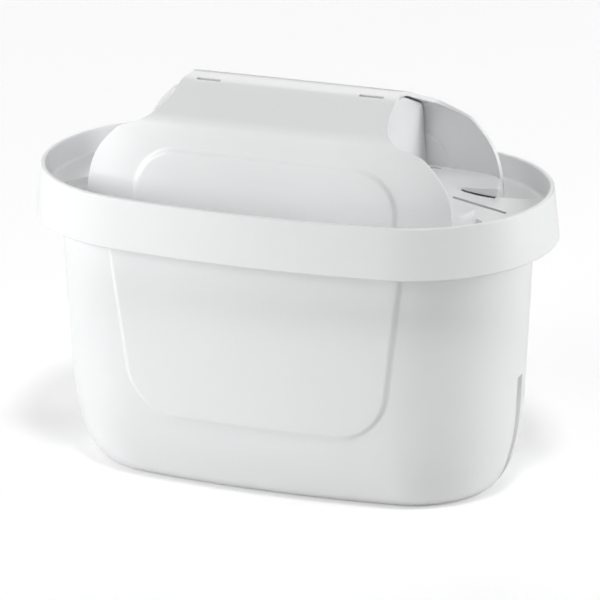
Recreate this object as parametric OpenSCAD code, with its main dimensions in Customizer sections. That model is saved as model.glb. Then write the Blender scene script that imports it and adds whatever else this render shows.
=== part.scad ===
// Filter cartridge for a water pitcher: an oval cup full of filter granules under a
// moulded lid whose arched grip has a finger pocket at each end.
// +X is the long way, -Y is the front, and the base stands on Z = 0.

/* [Rim] */
// Length over the rim's lip
rim_len = 104; // [90:1:120]
// Width over the rim's lip
rim_wid = 58.2; // [52:0.1:66]
// How far each long side bows out past the round ends
side_bow = 1.6; // [0.8:0.1:4]
// Height of the lip above the base
rim_top = 60.9; // [52:0.1:75]
// Height of the rim's outer band
rim_h = 10.2; // [8:0.1:13]
// How far the band leans out at its lower edge
rim_flare = 1.1; // [0:0.1:2]
// Thickness of the band
rim_wall = 1.5; // [1.2:0.1:2]
// Width of the lip at the top of the band
lip_w = 1.0; // [0.8:0.1:1.4]
// Depth of the well between the lip and the deck
well_d = 5.1; // [3:0.1:6]

/* [Cup] */
// How far the cup stands back from the lip's outline, at the band's lower edge
cup_inset = 3.85; // [3.4:0.05:5]
// Taper of the cup's wall on each side, in degrees
cup_taper = 2.85; // [0:0.05:5]
// Wall thickness of the cup
cup_wall = 1.5; // [1:0.1:2.2]
// Thickness of the cup's floor
cup_floor = 1.8; // [1.4:0.1:2.6]
// Width of the rounding at the cup's lower edge
foot_rx = 7; // [4:0.5:10]
// Height of the rounding at the cup's lower edge
foot_rz = 17.9; // [8:0.1:22]
// Thickness of the flange that the lid is welded to
flange_t = 1.4; // [1:0.1:2]
// Width of the key groove in each end of the cup
groove_w = 2.4; // [1.6:0.1:4]
// Depth of the key groove
groove_d = 1.5; // [0.8:0.1:2.4]
// Height of the key groove's upper end
groove_top = 24; // [20:0.5:32]

/* [Panels] */
// How far the raised panels stand proud
panel_h = 0.5; // [0.2:0.1:1]
// Half width of the cup's panel under the rim
panel_hw = 30.3; // [20:0.1:32]
// Half width that the cup's panel loses for each millimetre down
panel_slope = 0.13; // [0:0.01:0.2]
// Height of the lower edge of the cup's panel
panel_low = 15.4; // [12:0.1:24]
// Corner radius of the cup's panel
panel_r = 9; // [4:0.5:12]
// Half width of the grip's panel
grip_panel_hw = 27; // [18:0.5:29]
// Height of the upper edge of the grip's panel
grip_panel_top = 68; // [64:0.1:70]
// Corner radius of the grip's panel
grip_panel_r = 8.5; // [3:0.5:9]

/* [Grip] */
// Height of the grip's ridge above the base
ridge_top = 79.65; // [76:0.05:88]
// Radius of the ridge, seen from the end
ridge_arc_r = 6; // [3:0.5:9]
// Slope of the roof on each side of the ridge, in degrees
roof_a = 21; // [14:0.5:28]
// Half width of the grip's middle where roof and side would meet
shoulder_hw = 15.2; // [12:0.1:17]
// Radius between roof and side
shoulder_r = 3.5; // [2:0.1:5]
// Lean of the grip's sides, in degrees
side_a = 9; // [4:0.5:11]
// Half length at which the grip's plan would close
plan_hl = 46; // [42:0.5:49]
// Half length of the grip at its foot
foot_hl = 38.5; // [34:0.5:41]
// Half length of the grip at its neck
neck_hl = 23.2; // [18:0.1:27]
// Rounding at the ends of the ridge
ridge_r = 2.6; // [1:0.1:3]
// How far below the ridge the bell outline turns
bell_drop = 7.85; // [6:0.05:10]
// Wall thickness of the grip
grip_wall = 1.3; // [1:0.1:1.6]
// Distance of each end wall from the middle
end_wall_x = 21.8; // [14:0.1:24]
// Thickness of the end walls
end_wall_t = 1.3; // [1:0.1:2]
// Width of the thin gap over each end wall
gap_w = 0.4; // [0.3:0.05:0.8]

/* [Deck] */
// Thickness of the deck
deck_t = 1.6; // [1.2:0.1:2.2]
// Height of the finger pockets' floor
pocket_z = 59.7; // [58:0.1:62]
// Distance of the pocket floor's outer edge from the middle
lobe_x = 40.3; // [38:0.1:42]
// Corner radius of the pocket floor
lobe_r = 2.6; // [1:0.1:4]
// Distance from the middle at which the sloping tongue starts
tongue_x = 30.7; // [27:0.1:33]
// Fall of the tongue for each millimetre outwards
tongue_slope = 0.19; // [0.1:0.01:0.24]
// Half width of the tongue at its neck
tongue_hw = 5.2; // [4:0.1:7]
// Distance of the tongue's neck from the middle
tongue_neck = 34; // [31:0.5:37]
// How strongly the tongue widens on both sides of its neck
tongue_flare = 0.045; // [0:0.005:0.06]
// Width of the inlet slits
slit_w = 1.1; // [0.7:0.1:1.6]
// Distance of the inlet slits' inner ends from the middle
slit_x = 32.7; // [31:0.1:35]
// Length of each middle inlet slit
slit_len = 10.9; // [6:0.1:11]
// Length of the curved slits along the tongue
side_slit_len = 6.7; // [4:0.1:7.5]
// Length of the thin slits beside the end walls
corner_slit_len = 3.3; // [2:0.1:4]
// Length of the vents in the ridge
vent_len = 5; // [3:0.5:8]
// Width of the vents in the ridge
vent_w = 0.9; // [0.6:0.1:1.6]
// Distance of the vents from the middle, along the ridge
vent_x = 17; // [8:0.5:18]
// Distance of the vents from the middle, across the ridge
vent_y = 3.1; // [2:0.1:5]

/* [Insides] */
// Thickness of the woven screens
screen_t = 0.4; // [0.3:0.1:0.8]
// Clearance between the loose insides and the cup
fit = 0.3; // [0.2:0.05:0.5]
// Height of the level that the granules are filled to
fill_z = 47; // [36:0.5:50]
// Radius of the outlet's recess in the base
outlet_r = 13; // [8:0.5:14]
// Depth of the outlet's recess
outlet_d = 0.8; // [0.4:0.1:1]
// Number of outlet slits
outlet_n = 5; // [3:2:7]
// Width of the outlet slits
outlet_w = 1.6; // [1:0.1:2]

/* [Hidden] */
$fn = 48;
eps = 0.01;
rim_low = rim_top - rim_h;
deck_z = rim_top - well_d;
deck_under = deck_z - deck_t;
half_l = rim_len / 2;
half_w = rim_wid / 2;
rim_end_r = half_w - side_bow;
// centres and radius of the four arcs that make the rim's outline
end_cx = half_l - rim_end_r;
side_r = (end_cx * end_cx + half_w * half_w - rim_end_r * rim_end_r) / (2 * side_bow);
side_cy = side_r - half_w;
joint_a = atan2(side_cy, end_cx);
// offset of the cup's outer wall from the rim's outline, at a height
function cup_u(z) = -cup_inset - (rim_low - z) * tan(cup_taper);
foot_u = cup_u(foot_rz);
foot_lean = foot_rz * tan(cup_taper);
// outlet's recess, kept within the flat of the base
recess_r = min(outlet_r, half_w + foot_u - foot_rx - 1);
foot_steps = 8;
end_steps = 20;
side_steps = 8;
grid_steps = 8;
plate_in = 9;

// Outline

// one offset of the four-arc oval, as points that always lie at the same stations
function arc_pts(cx, cy, r, a0, a1, n) =
    [for (i = [0 : n]) let (a = a0 + i * (a1 - a0) / n) [cx + r * cos(a), cy + r * sin(a)]];
function inner_pts(pts) = [for (i = [1 : len(pts) - 2]) pts[i]];
function oval_pts(u) = concat(
    arc_pts(end_cx, 0, rim_end_r + u, -joint_a, joint_a, end_steps),
    inner_pts(arc_pts(0, -side_cy, side_r + u, joint_a, 180 - joint_a, side_steps)),
    arc_pts(-end_cx, 0, rim_end_r + u, 180 - joint_a, 180 + joint_a, end_steps),
    inner_pts(arc_pts(0, side_cy, side_r + u, 180 + joint_a, 360 - joint_a, side_steps)));

module oval_plate(u, z, h) {
    translate([0, 0, z])
        linear_extrude(h)
            polygon(oval_pts(u));
}

// carries a section all round the oval: its x is the distance out from the lip's outline,
// and its points run down the outside and up the inside
module oval_sweep(section) {
    rings = [for (p = section) [for (q = oval_pts(p[0])) [q[0], q[1], p[1]]]];
    n = len(rings);
    m = len(rings[0]);
    polyhedron([for (r = rings) each r], [for (i = [0 : n - 1], j = [0 : m - 1])
        [i * m + j, i * m + (j + 1) % m, ((i + 1) % n) * m + (j + 1) % m, ((i + 1) % n) * m + j]]);
}

// Cup

// how far the foot of a face draws in by a turn of a, of w in all
function foot_in(w, a) = foot_lean * sin(a) + (w - foot_lean) * (1 - cos(a));

// the cup's outer face from the flange down to the flat of the base, moved out by d
function cup_face(d = 0, top = deck_under) = concat(
    [[cup_u(top) + d, top]],
    [for (i = [0 : foot_steps]) let (a = 90 * i / foot_steps)
        [foot_u + d - foot_in(foot_rx, a), foot_rz * (1 - sin(a))]]);

// the cup's inner face, moved in by d, from the floor up
function cup_inner(d = 0, top = deck_under) = concat(
    [for (i = [foot_steps : -1 : 0]) let (a = 90 * i / foot_steps)
        [foot_u - cup_wall - d - foot_in(foot_rx - 0.6, a),
            foot_rz - (foot_rz - cup_floor - d) * sin(a)]],
    [[cup_u(top) - cup_wall - d, top]]);

module cup_shell() {
    floor_u = foot_u - foot_rx - 2;
    flange_u = -lip_w - fit - 0.6;
    flange_z = deck_under - flange_t;
    oval_sweep(concat(
        [[flange_u, deck_under], [flange_u, flange_z], [cup_u(flange_z), flange_z]],
        [for (p = cup_face(0, flange_z)) if (p[1] < flange_z) p],
        [[floor_u, 0], [floor_u, cup_floor]],
        cup_inner()));
    oval_plate(floor_u + 0.5, 0, cup_floor);
}

// what stands proud of the cup's faces, before it is trimmed to the panel's outline
module cup_panel() {
    top = deck_under - flange_t / 2;
    intersection() {
        oval_sweep([for (p = concat(cup_face(panel_h, top), cup_inner(-cup_wall / 2, top)))
            if (p[1] > panel_low - 6) p]);
        rotate([90, 0, 0])
            linear_extrude(2 * rim_wid, center = true)
                cup_panel_outline();
    }
}

module cup_panel_outline() {
    top = rim_low + 2;
    low_hw = panel_hw - panel_slope * (rim_low - panel_low);
    hull()
        for (s = [-1, 1]) {
            translate([s * (low_hw - panel_r), panel_low + panel_r])
                circle(panel_r);
            translate([s * panel_hw - (s + 1) / 2, top])
                square([1, 1]);
        }
}

// profile of a cut or a pad that follows the end of the cup, between two depths
module end_strip(out, depth, width, top, low) {
    face = [for (p = cup_face(0, top)) if (p[1] >= low) [half_l + p[0], p[1]]];
    n = len(face);
    rotate([90, 0, 0])
        linear_extrude(width, center = true)
            polygon(concat(
                [for (p = face) p + [out, 0]],
                [[face[n - 1][0] + out, low - 1], [face[n - 1][0] - depth, low - 1]],
                [for (i = [n - 1 : -1 : 0]) face[i] - [depth, 0]]));
}

module cup() {
    color("white")
        difference() {
            union() {
                cup_shell();
                cup_panel();
                intersection() {
                    for (s = [0, 180])
                        rotate([0, 0, s])
                            end_strip(-0.4, groove_d + cup_wall, groove_w + 2 * cup_wall,
                                groove_top + cup_wall, 1.2);
                    oval_plate(-cup_inset, 1, rim_top);
                }
            }
            for (s = [0, 180])
                rotate([0, 0, s])
                    end_strip(6, groove_d, groove_w, groove_top, 0);
            translate([0, 0, -1])
                cylinder(r = recess_r, h = 1 + outlet_d);
            for (i = [-(outlet_n - 1) / 2 : (outlet_n - 1) / 2])
                outlet_slit(i * 1.5 * outlet_w);
        }
}

module outlet_slit(y) {
    l = 2 * (sqrt(recess_r * recess_r - y * y) - 3);
    translate([-l / 2, y - outlet_w / 2, -1])
        cube([l, outlet_w, cup_floor + 2]);
}

// Grip

// where roof, rounding and side meet, seen from the end
roof_y = ridge_arc_r * sin(roof_a);
roof_z = ridge_top - ridge_arc_r * (1 - cos(roof_a));
corner_z = roof_z - (shoulder_hw - roof_y) * tan(roof_a);
corner_in = shoulder_r * tan((90 - side_a - roof_a) / 2);
side_top_y = shoulder_hw + corner_in * sin(side_a);
side_top_z = corner_z - corner_in * cos(side_a);
round_y = side_top_y - shoulder_r * cos(side_a);
round_z = side_top_z - shoulder_r * sin(side_a);
grip_foot = deck_z - 0.9;

// half width of the grip's middle at a height on its side
function side_y(z) = side_top_y + (side_top_z - z) * tan(side_a);

// half of the grip's section from its foot to the ridge: across, up, and the way its face turns
section = concat(
    [for (i = [0 : 6]) let (z = grip_foot + i * (side_top_z - grip_foot) / 7) [side_y(z), z, side_a]],
    [for (i = [0 : 5]) let (a = side_a + i * (90 - side_a - roof_a) / 5)
        [round_y + shoulder_r * cos(a), round_z + shoulder_r * sin(a), a]],
    [for (i = [3 : -1 : 1]) let (a = 90 - roof_a * i / 3, y = ridge_arc_r * cos(a))
        [y, ridge_top - ridge_arc_r * (1 - sin(a)), a]],
    [[0, ridge_top, 90]]);
rows = len(section);

// share of that width which is left at a distance along the grip
function plan_share(x) = pow(1 - pow(abs(x) / plan_hl, 4), 0.25);

function bezier(p, t) =
    pow(1 - t, 3) * p[0] + 3 * pow(1 - t, 2) * t * p[1] + 3 * (1 - t) * t * t * p[2] + t * t * t * p[3];

// bell outline of the grip's ends: height and half length, from the foot to the ridge
bell_z = ridge_top - bell_drop;
bell_rise = bell_z - deck_z;
neck_rise = bell_drop - ridge_r;
bell_mid_x = (foot_hl + neck_hl) / 2 - 1.2;
bell = concat(
    [for (i = [0 : 16]) bezier([[grip_foot, foot_hl], [deck_z + 0.47 * bell_rise, foot_hl],
        [bell_z - 0.15 * bell_rise, foot_hl - 4], [bell_z, bell_mid_x]], i / 16)],
    [for (i = [1 : 12]) bezier([[bell_z, bell_mid_x], [bell_z + 0.36 * neck_rise, bell_mid_x - 3.8],
        [bell_z + 0.53 * neck_rise, neck_hl], [ridge_top - ridge_r, neck_hl]], i / 12)],
    [for (i = [1 : 8]) let (a = 90 * i / 8)
        [ridge_top - ridge_r * (1 - sin(a)), neck_hl - ridge_r * (1 - cos(a))]]);

// one across-the-grip row of points, d inside the outer face, at a share s of its length
function arch_row(s, d) = concat(
    [for (i = [0 : rows - 1]) arch_point(s, section[i], d, -1)],
    [for (i = [rows - 2 : -1 : 0]) arch_point(s, section[i], d, 1)]);
function arch_point(s, p, d, side) =
    let (x = s * lookup(p[1], bell))
    [x, side * (p[0] - d * cos(p[2])) * plan_share(x), p[1] - d * sin(p[2])];

// a sheet between two grids of points that have as many rows and columns
module sheet(outer, inner) {
    n = len(outer);
    m = len(outer[0]);
    pts = concat([for (r = outer) each r], [for (r = inner) each r]);
    k = n * m;
    polyhedron(pts, concat(
        [for (i = [0 : n - 2], j = [0 : m - 2]) let (a = i * m + j) each
            [[a, a + 1, a + m], [a + 1, a + m + 1, a + m]]],
        [for (i = [0 : n - 2], j = [0 : m - 2]) let (a = k + i * m + j) each
            [[a, a + m, a + 1], [a + 1, a + m, a + m + 1]]],
        [for (j = [0 : m - 2]) each
            [[j, k + j, j + 1], [j + 1, k + j, k + j + 1]]],
        [for (j = [0 : m - 2]) let (a = (n - 1) * m + j) each
            [[a, a + 1, k + a], [a + 1, k + a + 1, k + a]]],
        [for (i = [0 : n - 2]) let (a = i * m) each
            [[a, a + m, k + a], [a + m, k + a + m, k + a]]],
        [for (i = [0 : n - 2]) let (a = i * m + m - 1) each
            [[a, k + a, a + m], [a + m, k + a, k + a + m]]]));
}

module arch_sheet(d_out, d_in) {
    shares = [for (i = [-grid_steps : grid_steps]) sin(90 * i / grid_steps)];
    sheet([for (s = shares) arch_row(s, d_out)], [for (s = shares) arch_row(s, d_in)]);
}

// the raised panel on each side of the grip
module grip_panel() {
    intersection() {
        arch_sheet(-panel_h, grip_wall / 2);
        translate([0, 0, deck_under])
            rotate([90, 0, 0])
                linear_extrude(2 * rim_wid, center = true)
                    grip_panel_outline(grip_panel_top - deck_under);
    }
}

module grip_panel_outline(top) {
    for (s = [-1, 1])
        translate([s * (grip_panel_hw - grip_panel_r), top - grip_panel_r])
            circle(grip_panel_r);
    translate([-grip_panel_hw, 0])
        square([2 * grip_panel_hw, top - grip_panel_r]);
    translate([grip_panel_r - grip_panel_hw, 0])
        square([2 * (grip_panel_hw - grip_panel_r), top]);
}

// section across the grip, d inside its outer face at the end walls, down to a height
function section_pts(d, low) =
    let (
        k = plan_share(end_wall_x),
        half = [for (p = section) [(p[0] - d * cos(p[2])) * k, p[1] - d * sin(p[2])]]
    ) concat(
        [[-half[0][0], low], [half[0][0], low]],
        half,
        [for (i = [rows - 2 : -1 : 0]) [-half[i][0], half[i][1]]]);

// lays a drawing across the grip and gives it a thickness towards the end
module across(x, t) {
    translate([x, 0, 0])
        rotate([90, 0, 90])
            linear_extrude(t)
                children();
}

module end_wall() {
    across(end_wall_x - end_wall_t, end_wall_t)
        difference() {
            polygon(section_pts(grip_wall / 2, deck_under));
            difference() {
                polygon(section_pts(grip_wall - eps, deck_under - 1));
                polygon(section_pts(grip_wall + gap_w, deck_under - 2));
                translate([-rim_wid, 0])
                    square([2 * rim_wid, side_top_z]);
            }
        }
}

// Deck

// plan of both pockets' floor, d inside its edge: it reaches the middle of the grip's walls
module floor_plan(d) {
    xs = [for (i = [-grid_steps : grid_steps]) i * (lobe_x - d) / grid_steps];
    hw = side_y(pocket_z) - grip_wall / 2;
    offset(r = lobe_r)
        offset(delta = -lobe_r)
            polygon(concat(
                [for (x = xs) [x, hw * plan_share(x) - d]],
                [for (i = [2 * grid_steps : -1 : 0]) [xs[i], d - hw * plan_share(xs[i])]]));
}

// half width of the sloping tongue at a distance along the lid
function tongue_y(x) = tongue_hw + tongue_flare * pow(x - tongue_neck, 2);

// strip between two offsets from the tongue's edge, on one side
function edge_strip(x0, x1, d0, d1) =
    let (xs = [for (i = [0 : grid_steps]) x0 + i * (x1 - x0) / grid_steps])
    concat(
        [for (x = xs) [x, tongue_y(x) - d0]],
        [for (i = [grid_steps : -1 : 0]) [xs[i], tongue_y(xs[i]) - d1]]);

// plan of the tongue from x0 to x1, d inside its edges
module tongue_plan(x0, x1, d) {
    half = edge_strip(x0, x1, d, d);
    n = grid_steps;
    polygon(concat([for (i = [0 : n]) half[i]], [for (i = [n : -1 : 0]) [half[i][0], -half[i][1]]]));
}

// everything below the tongue's face and the level before it, d inside
module below_tongue(d, low) {
    fall = tongue_slope * (half_l - tongue_x);
    rotate([90, 0, 0])
        linear_extrude(rim_wid, center = true)
            polygon([[0, low], [0, pocket_z - d], [tongue_x, pocket_z - d],
                [half_l, pocket_z - d - fall], [half_l, low]]);
}

// the hollow under a pocket's floor, open to the screen below
module pocket_hollow() {
    low = deck_under - 1;
    intersection() {
        below_tongue(deck_t, low);
        translate([0, 0, low])
            linear_extrude(pocket_z - low) {
                floor_plan(deck_t);
                tongue_plan(tongue_x, slit_x + slit_len + 1, deck_t);
            }
    }
}

module pocket_floor() {
    start = end_wall_x - end_wall_t;
    difference() {
        intersection() {
            union() {
                translate([0, 0, deck_under])
                    linear_extrude(pocket_z - deck_under)
                        difference() {
                            floor_plan(0);
                            tongue_plan(tongue_x, half_l, 0);
                        }
                intersection() {
                    below_tongue(0, deck_under);
                    translate([0, 0, deck_under])
                        linear_extrude(pocket_z)
                            tongue_plan(tongue_x, half_l, 0);
                }
            }
            translate([start, -half_w, deck_under])
                cube([half_l - start, rim_wid, rim_h]);
            oval_plate(-lip_w - 0.1, deck_under, rim_h);
        }
        pocket_hollow();
    }
}

module slits() {
    low = deck_under - 2;
    corner_w = slit_w / 2;
    corner_y = side_y(pocket_z) * plan_share(end_wall_x) - grip_wall - 1;
    translate([slit_x, -slit_w / 2, low])
        cube([slit_len, slit_w, rim_h]);
    for (s = [-1, 1]) {
        translate([0, 0, low])
            scale([1, s, 1])
                linear_extrude(rim_h)
                    polygon(edge_strip(slit_x, slit_x + side_slit_len, 0, 0.8 * slit_w));
        translate([end_wall_x + 0.1, s * corner_y - corner_w / 2, low])
            cube([corner_slit_len, corner_w, rim_h]);
    }
}

module rim_and_deck() {
    corner = 0.35;
    difference() {
        union() {
            oval_sweep([
                [corner - lip_w, rim_top],
                [-corner, rim_top],
                [-0.3 * corner, rim_top - 0.3 * corner],
                [0, rim_top - corner],
                [rim_flare, rim_low],
                [rim_flare - rim_wall, rim_low],
                [-lip_w - 0.2, deck_under],
                [-plate_in, deck_under],
                [-plate_in, deck_z],
                [-lip_w - 0.2, deck_z],
                [-lip_w, rim_top - corner],
                [0.3 * corner - lip_w, rim_top - 0.3 * corner]]);
            oval_plate(0.5 - plate_in, deck_under, deck_t);
        }
        for (s = [0, 180])
            rotate([0, 0, s])
                pocket_hollow();
    }
}

module lid() {
    color("white")
        difference() {
            union() {
                rim_and_deck();
                arch_sheet(0, grip_wall);
                grip_panel();
                for (s = [0, 180])
                    rotate([0, 0, s]) {
                        end_wall();
                        pocket_floor();
                    }
            }
            for (s = [0, 180])
                rotate([0, 0, s])
                    slits();
            for (sx = [-1, 1], sy = [-1, 1])
                translate([sx * vent_x, sy * vent_y, ridge_top])
                    cube([vent_len, vent_w, 8], center = true);
        }
}

// Insides

module inlet_screen() {
    color("gainsboro")
        oval_plate(cup_u(deck_under) - cup_wall - fit, deck_under - screen_t, screen_t);
}

module outlet_screen() {
    color("gainsboro")
        translate([0, 0, cup_floor])
            cylinder(r = recess_r, h = screen_t);
}

module filter_media() {
    inset = fit;
    bed_z = cup_floor + screen_t;
    inner_u = foot_u - foot_rx - 2;
    bed = cup_inner(inset, fill_z);
    color("dimgray")
        difference() {
            union() {
                oval_sweep(concat(
                    [for (i = [len(bed) - 1 : -1 : 0]) if (bed[i][1] > bed_z) bed[i]],
                    [[inner_u + 1, bed_z], [inner_u, bed_z], [inner_u, fill_z]]));
                oval_plate(inner_u + 0.5, bed_z, fill_z - bed_z);
            }
            for (s = [0, 180])
                rotate([0, 0, s])
                    end_strip(5, groove_d + cup_wall + inset, groove_w + 2 * cup_wall + 2 * inset,
                        groove_top + cup_wall + inset, 1.2);
        }
}

cup();
lid();
inlet_screen();
outlet_screen();
filter_media();
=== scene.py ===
"""Oval filter cartridge for a water pitcher: a white moulded cup and lid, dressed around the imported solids."""
import math

import bmesh
import bpy
from bpy.props import FloatProperty, FloatVectorProperty, IntProperty, PointerProperty
from mathutils import Matrix, Vector
from mathutils.kdtree import KDTree


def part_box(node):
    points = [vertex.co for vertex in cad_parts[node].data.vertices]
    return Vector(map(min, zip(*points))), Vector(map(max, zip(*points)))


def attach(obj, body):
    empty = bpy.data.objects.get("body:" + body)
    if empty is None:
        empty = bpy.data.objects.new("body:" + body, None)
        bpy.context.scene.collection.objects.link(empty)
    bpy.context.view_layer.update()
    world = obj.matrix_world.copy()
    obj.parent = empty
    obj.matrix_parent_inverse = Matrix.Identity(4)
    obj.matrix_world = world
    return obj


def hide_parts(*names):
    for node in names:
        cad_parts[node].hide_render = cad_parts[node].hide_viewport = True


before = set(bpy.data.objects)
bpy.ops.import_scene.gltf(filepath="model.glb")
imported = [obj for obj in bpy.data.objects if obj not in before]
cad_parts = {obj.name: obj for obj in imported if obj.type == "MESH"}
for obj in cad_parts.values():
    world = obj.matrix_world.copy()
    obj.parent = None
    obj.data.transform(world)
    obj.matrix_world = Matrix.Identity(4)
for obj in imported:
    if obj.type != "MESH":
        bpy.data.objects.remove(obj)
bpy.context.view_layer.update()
cup_low, cup_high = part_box("cup")
lid_low, lid_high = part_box("lid")

bl_info = {
    "name": "Pitcher Filter Cartridge",
    "version": (1, 0, 0),
    "blender": (4, 5, 0),
    "location": "View3D > Sidebar > Cartridge",
    "description": "Dresses an oval drop-in filter cartridge in smooth moulded plastic",
    "category": "Add Mesh",
}

MM = 0.001
BODY = "root"


# Sizes and colours

class RimSettings(bpy.types.PropertyGroup):
    flare: FloatProperty(
        name="Flare", description="How far the band leans out at its lower edge",
        default=1.1 * MM, min=0.0, unit="LENGTH")
    side_bow: FloatProperty(
        name="Side bow", description="How far each long side bows out past the round ends",
        default=1.6 * MM, min=0.0002, unit="LENGTH")
    band_height: FloatProperty(
        name="Band height", description="Height of the outer band",
        default=10.2 * MM, min=0.004, unit="LENGTH")
    band_wall: FloatProperty(
        name="Band wall", description="Thickness of the band",
        default=1.5 * MM, min=0.0008, unit="LENGTH")
    lip_width: FloatProperty(
        name="Lip width", description="Width of the lip on top of the band",
        default=1.0 * MM, min=0.0005, unit="LENGTH")
    well_depth: FloatProperty(
        name="Well depth", description="Depth of the well between lip and deck",
        default=5.1 * MM, min=0.001, unit="LENGTH")
    deck_wall: FloatProperty(
        name="Deck thickness", description="Thickness of the deck",
        default=1.6 * MM, min=0.0008, unit="LENGTH")
    edge_radius: FloatProperty(
        name="Edge radius", description="Rounding along the lip and the band's lower edge",
        default=0.35 * MM, min=0.0001, unit="LENGTH")


class CupSettings(bpy.types.PropertyGroup):
    inset: FloatProperty(
        name="Inset", description="How far the cup stands back from the lip's outline under the band",
        default=3.85 * MM, min=0.001, unit="LENGTH")
    taper: FloatProperty(
        name="Taper", description="Taper of the cup's wall on each side",
        default=math.radians(2.85), min=0.0, subtype="ANGLE")
    wall: FloatProperty(
        name="Wall", description="Thickness of the cup's wall",
        default=1.5 * MM, min=0.0008, unit="LENGTH")
    floor: FloatProperty(
        name="Floor", description="Thickness of the cup's floor",
        default=1.8 * MM, min=0.001, unit="LENGTH")
    foot_width: FloatProperty(
        name="Foot width", description="Width of the rounding at the lower edge",
        default=7.0 * MM, min=0.001, unit="LENGTH")
    foot_height: FloatProperty(
        name="Foot height", description="Height of the rounding at the lower edge",
        default=17.9 * MM, min=0.002, unit="LENGTH")
    flange: FloatProperty(
        name="Flange", description="Thickness of the flange under the deck",
        default=1.4 * MM, min=0.0005, unit="LENGTH")
    groove_width: FloatProperty(
        name="Groove width", description="Width of the key groove in each end",
        default=2.4 * MM, min=0.0005, unit="LENGTH")
    groove_depth: FloatProperty(
        name="Groove depth", description="Depth of the key groove",
        default=1.5 * MM, min=0.0002, unit="LENGTH")
    groove_top: FloatProperty(
        name="Groove top", description="Height of the groove's upper end",
        default=24.0 * MM, min=0.005, unit="LENGTH")
    panel_rise: FloatProperty(
        name="Panel rise", description="How far the raised panels stand proud",
        default=0.5 * MM, min=0.0, unit="LENGTH")
    panel_half: FloatProperty(
        name="Panel half width", description="Half width of the panel under the band",
        default=30.3 * MM, min=0.01, unit="LENGTH")
    panel_slope: FloatProperty(
        name="Panel slope", description="Half width that the panel loses for each length down",
        default=0.13, min=0.0)
    panel_low: FloatProperty(
        name="Panel foot", description="Height of the panel's lower edge",
        default=15.4 * MM, min=0.005, unit="LENGTH")
    panel_radius: FloatProperty(
        name="Panel radius", description="Corner radius of the panel",
        default=9.0 * MM, min=0.001, unit="LENGTH")
    outlet_radius: FloatProperty(
        name="Outlet radius", description="Radius of the outlet's recess in the base",
        default=13.0 * MM, min=0.004, unit="LENGTH")
    outlet_depth: FloatProperty(
        name="Outlet depth", description="Depth of the outlet's recess",
        default=0.8 * MM, min=0.0, unit="LENGTH")
    outlet_count: IntProperty(
        name="Outlet slits", description="Number of slits in the outlet", default=5, min=1, max=9)
    outlet_slit: FloatProperty(
        name="Outlet slit width", description="Width of each slit in the outlet",
        default=1.6 * MM, min=0.0004, unit="LENGTH")


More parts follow.
